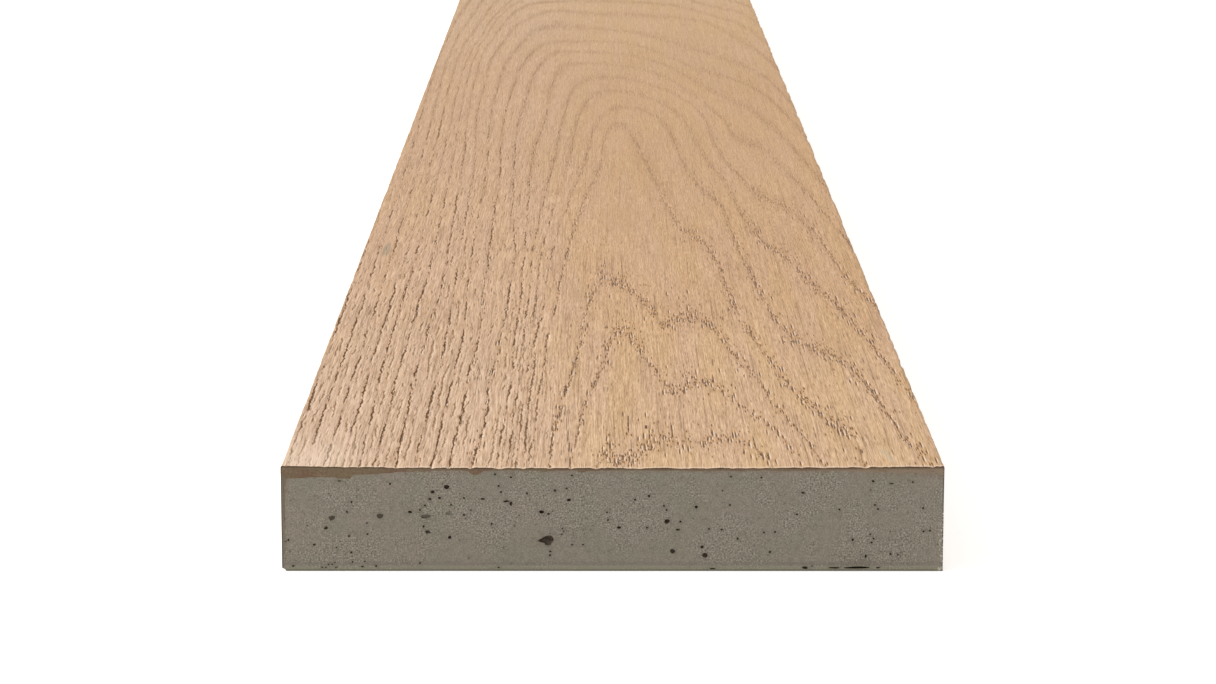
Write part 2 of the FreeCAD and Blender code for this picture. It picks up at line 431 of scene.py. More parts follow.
def seam_line(near):
    """The seam between skin and core from the left foot to the right one, at the near or the far end."""
    spots = np.array([on_near_end(*pixel) for pixel in SEAM])
    body = HALF_WIDTH - SKIN_SIDE
    inner = body - CORE_CORNER
    x = np.linspace(-inner, inner, SEAM_POINTS)
    if near:
        z = np.interp(x, spots[:, 0], spots[:, 1]) - 0.12 * (1 - smooth(np.abs(x), 55, 75))
        z = z + 0.1 * wander(x, 0, 1.3, 1, 21) + 0.06 * wander(x, 0, 0.6, 1, 25)
    else:
        t = np.clip((x - POOL_EDGE) / (POOL_END - POOL_EDGE), 0, 1)
        z = POOL_FLOOR + (CORE_TOP - POOL_FLOOR) * smooth(t, 0, 1)
        z = z + 0.12 * wander(x, 0, 6, 1, 22) + 0.07 * wander(x, 0, 1.5, 1, 23)
        for place, deep in FAR_DIPS:
            z = z - deep * np.exp(-(((x - place) / FAR_DIP_WIDTH) ** 2))
    z = np.minimum(z, face_height(x) - THINNEST_SKIN)

    def corner(side, height):
        turn = np.linspace(0, math.pi / 2, 6)[:-1]
        return side * (inner + CORE_CORNER * np.cos(turn)), height - CORE_CORNER * (1 - np.sin(turn))

    def wall(side, height, seed):
        up = np.linspace(FOOT, height - CORE_CORNER, 14)[:-1]
        inward = body + 0.07 * wander(up, seed, 3, 1, 24)
        return side * inward, up

    def upward(side, height, seed):
        pieces = [([side * HALF_WIDTH], [FOOT]), wall(side, height, seed), corner(side, height)]
        return np.concatenate([np.stack(piece, 1) for piece in pieces])

    left, right = upward(-1, z[0], 3), upward(1, z[-1], 9)
    return np.concatenate([left, np.stack([x, z], 1), right[::-1]])


def face_height(x):
    """The dished face's height."""
    tangent = HALF_WIDTH - ARRIS
    low = EDGE_TOP - FACE_DISH * (tangent / HALF_WIDTH) ** 2
    return low + FACE_DISH * (x / HALF_WIDTH) ** 2


def outer_section():
    """The skin's outside from the left foot over the face to the right foot.

    Columns are place x and z, the way out x and z, the distance across as the skin lies flat, and how much
    of the point is arris."""
    tangent = HALF_WIDTH - ARRIS
    centre = EDGE_TOP - ARRIS
    side = [(HALF_WIDTH, z, 1, 0, tangent + ARRIS * math.pi / 2 + centre - z, 0.8 * (z > centre - 2.5))
            for z in [*np.linspace(FOOT, centre - 3.2, SIDE_COLUMNS - 1), centre - 1.6, centre]]
    arris = []
    for turn in np.linspace(0, math.pi / 2, ARRIS_COLUMNS + 1)[1:-1]:
        out_x, out_z = math.cos(turn), math.sin(turn)
        flat = tangent + ARRIS * (math.pi / 2 - turn)
        arris.append((tangent + ARRIS * out_x, centre + ARRIS * out_z, out_x, out_z, flat, 1))
    right = side[:-1] + [side[-1][:5] + (1,)] + arris
    left = [(-x, z, -nx, nz, -u, a) for x, z, nx, nz, u, a in right]
    face = [(x, face_height(x), 0, 1, x, float(abs(x) > tangent - 0.1))
            for x in np.linspace(-tangent, tangent, FACE_COLUMNS + 1)]
    return np.array(left + face + right[::-1], float)


def mesh_rows():
    """Rows across the skin: (place along the board, columns per quad)."""
    length = FAR_END - NEAR_END
    rows = [(0.0, 1), (0.5, 1)]
    start = 0.5
    for end, row, step in STRETCHES:
        end = min(end, length)
        count = round((end - start) / row)
        rows += [(start + (end - start) * i / count, step) for i in range(1, count + 1)]
        start = end
    return rows


def columns(step):
    """The columns that a row uses, where the face's columns are thinned."""
    sides = SIDE_COLUMNS + ARRIS_COLUMNS
    face = range(sides, sides + FACE_COLUMNS + 1, step)
    last = 2 * sides + FACE_COLUMNS + 1
    return [*range(sides), *face, *range(sides + FACE_COLUMNS + 1, last)]


def band_share(lean, spacing):
    """The share of a ring that its band of pores takes: long where the ring crosses the board."""
    crossing = lean / np.sqrt(1 + lean**2)
    return np.minimum(1.0 + 26 * crossing, 0.24 * spacing) / spacing


def relief(u, y, arris, ring, spacing, upright, band):
    """How far the brushed face lies under the solid's: grooves on the ring lines, waves and nicks."""
    off = ring - np.round(ring)
    strength = 0.55 + 0.45 * wander(ring.round() * 13.7, y, 1, 38, 31)
    groove = 0.12 * strength * np.exp(-((off * spacing / 0.5) ** 2)) * upright
    across_band = off / band + 0.4
    pitted = smooth(across_band, -0.1, 0.2) * (1 - smooth(across_band, 0.3, 1.0)) * smooth(spacing, 5, 9)
    pitted = pitted * (0.06 + 0.08 * wander(u, y, 0.8, 7, 32))
    waves = 0.045 * wander(u, y, 2.2, 26, 33) + 0.035 * wander(u, y, 0.9, 12, 34)
    sags = sum(deep * np.exp(-(((u - x) / wide) ** 2)) for x, wide, deep in EDGE_SAGS)
    sawn = np.exp(-y / 3.0)
    burr = sawn * (0.08 + 0.17 * wander(u, 0, 3.8, 1, 51) + 0.12 * wander(u, 0, 1.1, 1, 52) + sags)
    on_side = smooth(np.abs(u), HALF_WIDTH - 0.3, HALF_WIDTH + 0.9)
    burr = burr * (1 - np.maximum(on_side, 0.9 * smooth(-u, 86, 94)))
    worn = (groove + pitted + waves + 0.07) * (1 - 0.7 * on_side) + burr
    right = 0.65 + 0.35 * np.sign(u)

    def along_edge(shift, cell, seed):
        return wander(u * 0, y + shift * np.sign(u), 1, cell, seed)

    nicks = 0.3 * np.maximum(along_edge(900, 17, 36) - 0.15, 0)
    nicks += 0.55 * np.maximum(along_edge(900, 5, 38) - 0.15, 0) * right
    nicks += 0.46 * smooth(along_edge(700, 14, 39), 0.3, 0.5) * smooth(y, 300, 600) * right
    on_face = np.clip(worn, 0.005, 0.36 + 0.12 * sawn)
    on_arris = np.clip(0.01 + nicks * smooth(y, 0, 5), 0, 0.46)
    return on_face * (1 - arris) + arris * on_arris


def make_mesh(name, points, faces, sharp_angle):
    """A smooth-shaded mesh in metres whose hard edges are found by their angle."""
    mesh = bpy.data.meshes.new(name)
    mesh.from_pydata((np.asarray(points) * METRES).tolist(), [], faces)
    mesh.validate()
    mesh.shade_smooth()
    mesh.set_sharp_from_angle(angle=math.radians(sharp_angle))
    return mesh


def give(mesh, name, values):
    """Stores a number or a vector at each point of a mesh."""
    kind = "FLOAT" if np.ndim(values) == 1 else "FLOAT_VECTOR"
    attribute = mesh.attributes.new(name, kind, "POINT")
    key = "value" if kind == "FLOAT" else "vector"
    attribute.data.foreach_set(key, np.asarray(values, np.float32).ravel())


def fill(points, loops):
    """Triangles inside the first loop that use every point and keep to every loop's sides."""
    edges = [(a, b) for loop in loops for a, b in zip(loop, loop[1:] + loop[:1])]
    flat = [Vector((float(p[0]), float(p[1]))) for p in points]
    spots, _, triangles, sources, _, _ = delaunay_2d_cdt(flat, edges, [], 1, 1e-6)
    return spots, triangles, sources


def grain_skin():
    """The moulded skin as one closed mesh: its grained outside, the seam inside and two sawn ends."""
    section = outer_section()
    rows = mesh_rows()
    fitted = fit_rings()
    points, grain, faces, starts = [], [], [], []
    for along, step in rows:
        pick = columns(step)
        starts.append((len(points), pick))
        points += [(section[c, 0], NEAR_END + along, section[c, 1]) for c in pick]
        grain += [(section[c, 4], along, c) for c in pick]
    points = np.array(points)
    grain = np.array(grain)
    column = grain[:, 2].astype(int)
    u, y = grain[:, 0], grain[:, 1]
    ring = rings(u, y, fitted)
    slope_x = rings(u + 0.5, y, fitted) - rings(u - 0.5, y, fitted)
    slope_y = (rings(u, y + 3.0, fitted) - rings(u, y - 3.0, fitted)) / 6.0
    spacing = np.clip(1 / np.sqrt(slope_x**2 + slope_y**2 + 1e-6), 2.0, 60.0)
    lean = np.abs(slope_y) / np.maximum(np.abs(slope_x), 1e-4)
    upright = 1 - smooth(lean, 0.06, 0.17)
    band = band_share(lean, spacing)
    depth = relief(u, y, section[column, 5], ring, spacing, upright, band)
    points[:, 0] -= section[column, 2] * depth
    points[:, 2] -= section[column, 3] * depth
    grain[:, 2] = ring

    for (start, pick), (after, pick_after) in zip(starts, starts[1:]):
        place = {c: start + i for i, c in enumerate(pick)}
        place_after = {c: after + i for i, c in enumerate(pick_after)}
        coarse = pick if len(pick) < len(pick_after) else pick_after
        for left, right in zip(coarse, coarse[1:]):
            here = [place[c] for c in range(left, right + 1) if c in place]
            there = [place_after[c] for c in range(left, right + 1) if c in place_after]
            faces.append(here + there[::-1])
    grained = len(faces)

    near_outer = list(range(starts[0][0], starts[0][0] + len(starts[0][1])))
    far_outer = list(range(starts[-1][0], starts[-1][0] + len(starts[-1][1])))
    seam_near, seam_far = seam_line(True), seam_line(False)
    first = len(points)
    count = len(seam_near)
    inner = np.concatenate([
        np.insert(seam_near[1:-1], 1, NEAR_END, 1),
        np.insert(seam_far[1:-1], 1, FAR_END, 1),
    ])
    points = np.concatenate([points, inner])
    near_seam = [near_outer[0], *range(first, first + count - 2), near_outer[-1]]
    far_seam = [far_outer[0], *range(first + count - 2, first + 2 * count - 4), far_outer[-1]]
    for i in range(count - 1):
        faces.append([near_seam[i], far_seam[i], far_seam[i + 1], near_seam[i + 1]])
    for outer, seam, flip in ((near_outer, near_seam, False), (far_outer, far_seam, True)):
        loop = outer + seam[-2:0:-1]
        flat = [(points[i][0], points[i][2]) for i in loop]
        _, triangles, sources = fill(flat, [list(range(len(loop)))])
        for triangle in triangles:
            corners = [loop[sources[c][0]] for c in triangle]
            faces.append(corners[::-1] if flip else corners)

    mesh = make_mesh("grain_skin", points, faces, 50)
    extra = len(points) - len(grain)
    give(mesh, "grain", np.concatenate([grain, np.tile([0, 0, 8.3], (extra, 1))]))
    trend = np.stack([np.sign(slope_x) * (0.05 + 0.95 * upright), spacing, band], 1)
    give(mesh, "trend", np.concatenate([trend, np.tile([-1.0, 8.0, 0.2], (extra, 1))]))
    material_index = np.zeros(len(mesh.polygons), np.int32)
    material_index[grained:] = 1
    mesh.polygons.foreach_set("material_index", material_index)
    skin = bpy.data.objects.new("grain_skin", mesh)
    mesh.materials.append(grain_material())
    mesh.materials.append(cut_skin_material())
    return skin


# The core and its bubbles.


def rim_of(across, up, half_width, half_height, rng):
    """A bubble's rim, slightly uneven."""
    around = 2 * math.pi * max(half_width, half_height)
    count = int(np.clip(around / 0.32, 7, 30))
    turn = np.linspace(0, 2 * math.pi, count, endpoint=False)
    uneven = 1 + 0.09 * np.cos(2 * turn + rng.uniform(0, 6)) + 0.06 * np.cos(3 * turn + rng.uniform(0, 6))
    return np.stack([
        across + half_width * uneven * np.cos(turn),
        up + half_height * uneven * np.sin(turn),
    ], 1)


def drawn_rim(pixels):
    """A rim through outline points of the photograph, with one more point on each rounded side."""
    spots = np.array([on_near_end(*pixel) for pixel in pixels])
    before, after = np.roll(spots, 1, 0), np.roll(spots, -1, 0)
    further = np.roll(spots, -2, 0)
    between = (9 * (spots + after) - before - further) / 16
    return np.stack([spots, between], 1).reshape(-1, 2)


def with_reach(rim):
    """A rim, its middle, and how far it reaches from there across or up."""
    middle = rim.mean(0)
    return rim, middle, np.abs(rim - middle).max()


def clear_of(rim, others, edges, gap):
    """Whether a rim keeps its distance from other rims and from the region's edge."""
    _, middle, reach = with_reach(rim)
    for other, other_middle, other_reach in others:
        if np.abs(other_middle - middle).max() > reach + gap + other_reach:
            continue
        apart = np.sqrt(((rim[:, None] - other[None]) ** 2).sum(2)).min()
        if apart < gap or inside(middle[None], other)[0] or inside(other_middle[None], rim)[0]:
            return False
    return distance_to(rim, edges).min() > gap


def inside(points, loop):
    """Which points lie inside a closed loop."""
    x, y = points[:, 0][:, None], points[:, 1][:, None]
    x0, y0 = loop[:, 0][None], loop[:, 1][None]
    x1, y1 = np.roll(loop[:, 0], -1)[None], np.roll(loop[:, 1], -1)[None]
    crosses = (y0 > y) != (y1 > y)
    level = np.where(y1 == y0, 1e-12, y1 - y0)
    return (crosses & (x < x0 + (y - y0) / level * (x1 - x0))).sum(1) % 2 == 1


def distance_to(points, loop):
    """Each point's distance to a closed loop's nearest side."""
    start, end = loop, np.roll(loop, -1, 0)
    run = end - start
    length = np.maximum((run**2).sum(1), 1e-12)
    best = np.full(len(points), 1e9)
    for part in np.array_split(np.arange(len(points)), max(1, len(points) // 4000)):
        offset = points[part][:, None] - start[None]
        t = np.clip((offset * run[None]).sum(2) / length, 0, 1)
        gap = offset - t[..., None] * run[None]
        best[part] = np.sqrt((gap**2).sum(2)).min(1)
    return best


def pitted_face(edge, rims, depths, darks, cell, seed, roughness):
    """A flat region with bubbles in it: (points, depth under the surface, painted shade in a bubble,
    triangles).
    """
    rng = np.random.default_rng(seed)
    points, loops = [*map(tuple, edge)], [list(range(len(edge)))]
    depth, painted_bubble_shade = [0.0] * len(edge), [0.0] * len(edge)
    for rim, deep, dark in zip(rims, depths, darks):
        middle = rim.mean(0)
        small = len(rim) < 9
        for scale, share in [(1.0, 0.0)] + ([BUBBLE_STEPS[1]] if small else BUBBLE_STEPS):
            loop = list(range(len(points), len(points) + len(rim)))
            loops.append(loop)
            points += map(tuple, middle + (rim - middle) * scale)
            depth += [deep * share] * len(rim)
            # Painted shade in the bubble: faint at its rim, full inside, and less on the lower wall, which
            # faces up to the light.
            high = (rim[:, 1] - middle[1]) * scale
            lit = np.clip(-high / 0.6, 0, 1) * np.clip(np.ptp(rim[:, 1]) - 0.9, 0, 1)
            painted_bubble_shade += ((0.2 if scale == 1.0 else 1.0) * dark * (1 - 0.3 * lit)).tolist()
        points.append(tuple(middle))
        depth.append(deep)
        painted_bubble_shade.append(dark)
    low, high = edge.min(0), edge.max(0)
    grid_x = np.arange(low[0] + cell / 2, high[0], cell)
    grid_y = np.arange(low[1] + cell / 2, high[1], cell)
    grid = np.stack(np.meshgrid(grid_x, grid_y), -1).reshape(-1, 2)
    grid = grid + rng.uniform(-0.35, 0.35, grid.shape) * cell
    keep = inside(grid, edge) & (distance_to(grid, edge) > cell * 0.3)
    for rim in rims:
        _, middle, reach = with_reach(rim)
        keep &= (np.abs(grid - middle) > reach * 1.15 + 0.1).any(1)
    grid = grid[keep]
    points += map(tuple, grid)
    uneven = wander(grid[:, 0], grid[:, 1], 2.5 * cell, 2.5 * cell, seed)
    depth += (roughness * (0.5 + 0.5 * uneven)).tolist()
    painted_bubble_shade += [0.0] * len(grid)
    spots, triangles, sources = fill(points, loops)
    first = [s[0] if s else -1 for s in sources]
    depth = [depth[s] if s >= 0 else 0.0 for s in first]
    painted_bubble_shade = [painted_bubble_shade[s] if s >= 0 else 0.0 for s in first]
    return [tuple(s) for s in spots], depth, painted_bubble_shade, triangles


def scatter(edge, rims, count, sizes, gap, rng):
    """Random bubbles, mostly small, wherever the given ones leave room."""
    placed = [with_reach(rim) for rim in rims]
    low, high = edge.min(0), edge.max(0)
    added = []
    for _ in range(count):
        half = sizes[0] + (sizes[1] - sizes[0]) * rng.random() ** 4
        x, y = rng.uniform(low[0], high[0]), rng.uniform(low[1], high[1])
        rim = rim_of(x, y, half * rng.uniform(0.9, 1.35), half * rng.uniform(0.8, 1.1), rng)
        if inside(np.array([[x, y]]), edge)[0] and clear_of(rim, placed, edge, gap):
            placed.append(with_reach(rim))
            added.append(rim)
    return added


def depths_of(rims, rng):
    """How deep each bubble goes: somewhat over half its smaller width."""
    deep = []
    for rim in rims:
        size = rim.max(0) - rim.min(0)
        deep.append(float(min(size) * rng.uniform(0.5, 0.8) + 0.12 * max(size)))
    return deep


def near_bubbles(edge, rng):
    """The bubbles that the photograph shows on the sawn end, and faint smaller ones between them."""
    rims, darks, placed = [], [], []
    shapes = [(drawn_rim(LENS_BUBBLE), 1.0)]
    for px, py, *given in BUBBLES + HOOKED_BUBBLES:
        wide, high, dark = (*given, *USUAL_BUBBLE[len(given):])
        x, z = on_near_end(px, py)
        half_width = on_near_end(px + wide / 2, py)[0] - x
        half_height = z - on_near_end(px, py + high / 2)[1]
        shapes.append((rim_of(x, z, half_width, half_height, rng), dark))
    for rim, dark in shapes:
        middle = rim.mean(0)
        for shrink in (1.0, 0.8, 0.6):
            smaller = middle + (rim - middle) * shrink
            if clear_of(smaller, placed, edge, 0.04) and inside(middle[None], edge)[0]:
                rims.append(smaller)
                darks.append(dark)
                placed.append(with_reach(smaller))
                break
    faint = scatter(edge, rims, 230, (0.12, 0.3), 0.12, rng)
    return rims + faint, darks + [0.55] * len(faint)


def core_section(near, chipped):
    """The core's outline, from the right foot under the board to the left one and back over the top."""
    under = np.linspace(HALF_WIDTH, CHIP[0][0], UNDER_POINTS - 2)[:-1]
    whole = [(CHIP[0][0], 0), (-99.3, 0), (-HALF_WIDTH, 0), (-HALF_WIDTH, CHIP[3][1])]
    corner = CHIP if chipped else whole
    return np.array([(x, 0.0) for x in under] + corner + seam_line(near).tolist())


def resin_core():
    """The core as one closed mesh: bubbly ends, the seam on top and at the sides, and a plain underside."""
    rng = np.random.default_rng(7)
    near = core_section(True, True)
    chip_end = core_section(True, False)
    far = core_section(False, False)
    points, faces, painted_bubble_shade = [], [], []

    def add(new_points, new_faces, new_bubble_shade):
        start = len(points)
        points.extend(new_points)
        painted_bubble_shade.extend(new_bubble_shade)
        faces.extend([[start + i for i in face] for face in new_faces])

    near_rims, darks = near_bubbles(near, rng)
    depths = [deep * dark for deep, dark in zip(depths_of(near_rims, rng), darks)]
    depths[0] *= 0.5  # the bubble with its own outline is wide but shallow
    spots, depth, dark, triangles = pitted_face(near, near_rims, depths, darks, 1.25, 41, 0.05)
    add([(x, NEAR_END + d, z) for (x, z), d in zip(spots, depth)], triangles, dark)

    far_rims = scatter(far, [], 70, (0.3, 1.6), 0.2, rng)
    far_rims += scatter(far, far_rims, 200, (0.2, 0.5), 0.15, rng)
    depths, darks = depths_of(far_rims, rng), [1.0] * len(far_rims)
    spots, depth, dark, triangles = pitted_face(far, far_rims, depths, darks, 2.2, 42, 0.05)
    add([(x, FAR_END - d, z) for (x, z), d in zip(spots, depth)], [t[::-1] for t in triangles], dark)

    levels = [(near, NEAR_END), (chip_end, NEAR_END + CHIP_LENGTH), (far, FAR_END)]
    for (start, y0), (end, y1) in zip(levels, levels[1:]):
        both = [(x, y0, z) for x, z in start] + [(x, y1, z) for x, z in end]
        count = len(start)
        first_side = 0 if y0 == NEAR_END else UNDER_POINTS - 1
        walls = [[i, (i + 1) % count, count + (i + 1) % count, count + i] for i in range(first_side, count)]
        add(both, walls, [0.0] * (2 * count))

    edge = [(x, NEAR_END + CHIP_LENGTH) for x, _ in chip_end[:UNDER_POINTS]]
    edge += [(x, FAR_END) for x, _ in far[:UNDER_POINTS][::-1]]
    edge = np.array(edge)
    under_rims = scatter(edge, [], 260, (0.5, 2.6), 1.0, rng)
    depths, darks = depths_of(under_rims, rng), [1.0] * len(under_rims)
    spots, depth, dark, triangles = pitted_face(edge, under_rims, depths, darks, 22, 43, 0.12)
    add([(x, y, d) for (x, y), d in zip(spots, depth)], [t[::-1] for t in triangles], dark)

    merged, index = np.unique(np.round(np.array(points), 5), axis=0, return_inverse=True)
    index = index.ravel()
    faces = [[int(index[i]) for i in face] for face in faces]
    # Painted shade in the bubbles, kept at each point.
    shade = np.zeros(len(merged))
    np.maximum.at(shade, index, np.array(painted_bubble_shade))
    mesh = make_mesh("resin_core", merged, faces, 38)
    give(mesh, "painted_bubble_shade", shade)
    mesh.materials.append(core_material())
    return bpy.data.objects.new("resin_core", mesh)


# Materials.


class Value:
    """What a node gives. Sums, products, steps and ramps of it add more nodes."""

    def __init__(self, nodes, socket):
        self.nodes = nodes
        self.socket = socket

    def __add__(self, other):
        return self.nodes.math("ADD", self, other)

    def __sub__(self, other):
        return self.nodes.math("SUBTRACT", self, other)

    def __rsub__(self, other):
        return self.nodes.math("SUBTRACT", other, self)

    def __mul__(self, other):
        return self.nodes.math("MULTIPLY", self, other)

    def __truediv__(self, other):
        return self.nodes.math("DIVIDE", self, other)

    def __abs__(self):
        return self.nodes.math("ABSOLUTE", self)

    def step(self, start, end, low=0.0, high=1.0, kind="SMOOTHSTEP"):
        """A soft step: low at start, high at end."""
        inputs = {0: self, 1: start, 2: end, 3: low, 4: high}
        return self.nodes.add("ShaderNodeMapRange", inputs, interpolation_type=kind)

    def ramp(self, start, end, low=0.0, high=1.0):
        """A straight ramp: low at start, high at end."""
        return self.step(start, end, low, high, "LINEAR")

    def swing(self, reach):
        """A noise's middle half as a ramp from minus reach to reach."""
        return self.ramp(0.25, 0.75, -reach, reach)


class Nodes:
    """One material's nodes."""

    def __init__(self, name, specular):
        self.material = bpy.data.materials.new(name)
        self.material.use_nodes = True
        self.tree = self.material.node_tree
        self.inputs = self.tree.nodes["Principled BSDF"].inputs
        self.inputs["Specular IOR Level"].default_value = specular

    def feed(self, socket, value):
        if isinstance(value, Value):
            self.tree.links.new(value.socket, socket)
        else:
            socket.default_value = value

    def add(self, kind, inputs, output=0, **settings):
        node = self.tree.nodes.new(kind)
        for name, value in settings.items():
            setattr(node, name, value)
        for name, value in inputs.items():
            self.feed(node.inputs[name], value)
        return Value(self, node.outputs[output])

    def math(self, operation, *values):
        return self.add("ShaderNodeMath", dict(enumerate(values)), operation=operation)

    def highest(self, first, *others):
        for other in others:
            first = self.math("MAXIMUM", first, other)
        return first

    def vector(self, x, y, z):
        return self.add("ShaderNodeCombineXYZ", {0: x, 1: y, 2: z})

    def split(self, value, kind="XYZ"):
        """A vector's or a colour's three numbers."""
        node = self.add("ShaderNodeSeparate" + kind, {0: value}).socket.node
        return [Value(self, socket) for socket in node.outputs[:3]]

    def stored(self, name, output="Fac"):
        return self.add("ShaderNodeAttribute", {}, output, attribute_name=name)

    def noise(self, place, detail=2.0, rough=0.5, scale=1.0):
        inputs = {"Vector": place, "Scale": scale, "Detail": detail, "Roughness": rough}
        return self.add("ShaderNodeTexNoise", inputs)

    def streaks(self, x, y, cell_x, cell_y, seed, detail=2.0, rough=0.5):
        """Noise in cells of the given width and length."""
        return self.noise(self.vector(x / cell_x, y / cell_y, seed), detail, rough)

    def mix(self, share, under, over, blend="MIX"):
        inputs = {0: share, 6: under, 7: over}
        return self.add("ShaderNodeMix", inputs, 2, data_type="RGBA", blend_type=blend)

    def coats(self, colour, *layers):
        """Lays coats over a colour, each as (share, colour)."""
        for share, coat in layers:
            colour = self.mix(share, colour, coat)
        return colour

    def surface(self, colour, roughness, height):
        """Feeds the shader, with a height in millimetres as bump, and gives the material."""
        bump = self.add("ShaderNodeBump", {"Strength": 1.0, "Distance": METRES, "Height": height})
        for name, value in (("Base Color", colour), ("Roughness", roughness), ("Normal", bump)):
            self.feed(self.inputs[name], value)
        return self.material


def tone(red, green, blue):
    """A colour given in sRGB steps of 0 to 255."""
    def linear(step):
        share = step / 255
        return share / 12.92 if share < 0.04045 else ((share + 0.055) / 1.055) ** 2.4

    return (linear(red), linear(green), linear(blue), 1.0)


# Colours of the face.
GROOVE_BROWN = tone(76, 42, 6)
PORE_BROWN = tone(94, 58, 18)
STAIN_AMBER = tone(180, 130, 66)
BAND_MAUVE = tone(180, 143, 122)
# A pale cream: painted highlights on the lit right flanks of grooves and pores and along the sawn near edge,
# and the paler front left edge.
PALE_CREAM = tone(238, 214, 190)
RING_SHADE = (0.83, 0.77, 0.715, 1.0)
MIDDLE_SHADE = (0.93, 0.882, 0.85, 1.0)


def grooves(n, along, ring, trend, seed, width, stray, rare, period):
    """Long grooves on the ring lines.

    Gives how much of one a point is, and of its stained flanks and of a painted highlight on its right
    flank."""
    side, spacing, _ = trend
    line = n.math("ROUND", ring)
    lane = line * 7.3

    def down_the_line(cell, number, detail, rough=0.6):
        return n.noise(n.vector(along / cell, lane, seed + number), detail, rough)

    gaps = along.step(40.0, 450.0, rare, rare + 0.08)
    there = down_the_line(period, 0, 2.0).step(gaps, gaps + 0.12)
    drift = (down_the_line(9.0, 2, 3.0) - 0.5) * 2.4
    jump = (down_the_line(60.0, 3, 0.0, 0.5) - 0.5) * stray
    away = (ring - line) * spacing * n.math("SIGN", side) - (drift + jump)
    half = there * down_the_line(5.0, 1, 2.0).ramp(0.33, 0.67, 0.15, 1.95) * width + 0.001
    share = abs(away) / half
    # Painted highlight: a pale line on the groove's right flank, as if lit from the left.
    pale = abs(away - (half + 0.45)).step(half + 0.2, 0.0)
    return there * share.step(1.2, 0.5), there * share.step(3.3, 0.9), there * pale


def pores(n, across, along, cell_x, cell_y, crowd, seed, small=0.2, large=0.42):
    """Short thin hollows along the board, one in each cell whose random number is under the crowd.

    Gives how much of one a point is, and of its stained surroundings."""
    place = n.vector(across / cell_x, along / cell_y, seed)
    inputs = {"Vector": place, "Scale": 1.0, "Randomness": 0.95}
    distance = n.add("ShaderNodeTexVoronoi", inputs, "Distance", voronoi_dimensions="2D")
    chance, size, _ = n.split(Value(n, distance.socket.node.outputs["Color"]), "Color")
    share = distance / size.ramp(0.0, 1.0, small, large)
    there = chance.step(crowd, crowd - 0.08)
    return share.step(1.0, 0.5) * there, share.step(1.9, 0.9) * there


def grain_base(n, across, along, left, near):
    """The face's colour without its marks, and the hair-fine grain in it as (fine, short, thick)."""
    shifted = n.streaks(across, along, 12.0, 90.0, 2.0)
    wavy = across + (shifted - 0.5) * (left * 2.6 + 1.4)
    fine = n.streaks(wavy, along, 0.5, 22.0, 4.0, 3.0, 0.6)
    short = n.streaks(across, along, 0.4, 7.0, 17.0, 2.0, 0.6)
    thick = n.streaks(wavy, along, 2.2, 55.0, 9.0, 3.0, 0.6)
    cloud = n.streaks(across, along, 40.0, 260.0, 5.0)
    tint = n.streaks(wavy, along, 10.0, 150.0, 14.0, 3.0)
    streak = n.streaks(wavy, along, 1.2, 150.0, 41.0, 2.0, 0.6)

    front_left = across.step(20.0, -90.0) * along.step(520.0, 0.0)
    base = n.coats(
        tone(199, 163, 123),
        (tint.step(0.35, 0.65), tone(199, 163, 120)),
        (tint.step(0.66, 0.38) * (near * 0.22 + 0.16), tone(200, 165, 138)),
        (front_left * 0.4 + left * 0.28 + 0.04, tone(198, 167, 142)),
    )
    light = fine.swing(0.31) * (left * 0.25 + 1.0) + thick.swing(0.09)
    light = light + short.swing(0.28) * (1.0 - left * 0.35) + streak.swing(0.12)
    light = light * (near * 0.45 + left * 0.07 + 0.62) + cloud.ramp(0.3, 0.7, -0.03, 0.03)
    channels = {0: light * 0.8 + 1.0, 1: light + 1.0, 2: light * 1.25 + 1.0}
    base = n.mix(1.0, base, n.add("ShaderNodeCombineColor", channels), "MULTIPLY")
    return base, wavy, (fine, short, thick)


def single_marks(n, colour, across, along, ragged):
    """The flecks and smudges that the photograph shows, laid over a colour."""
    flecks = []
    for x, y, half_width, half_length, dark in FLECKS:
        share = n.highest(abs(across - x) / half_width, abs(along - y) / half_length)
        flecks.append(share.step(1.3, 0.6, 0.0, dark))
    colour = n.mix(n.highest(*flecks), colour, GROOVE_BROWN)
    for x, y, lean, half_width, half_length, strength, stain in SMUDGES:
        further = along - y
        aside = (across - x - further * lean) / half_width
        ahead = further / half_length
        smudge = (aside * aside + ahead * ahead).step(1.4, 0.2)
        colour = n.mix(smudge * ragged.step(0.2, 0.5, 0.4, 1.0) * strength, colour, tone(*stain))
    return colour


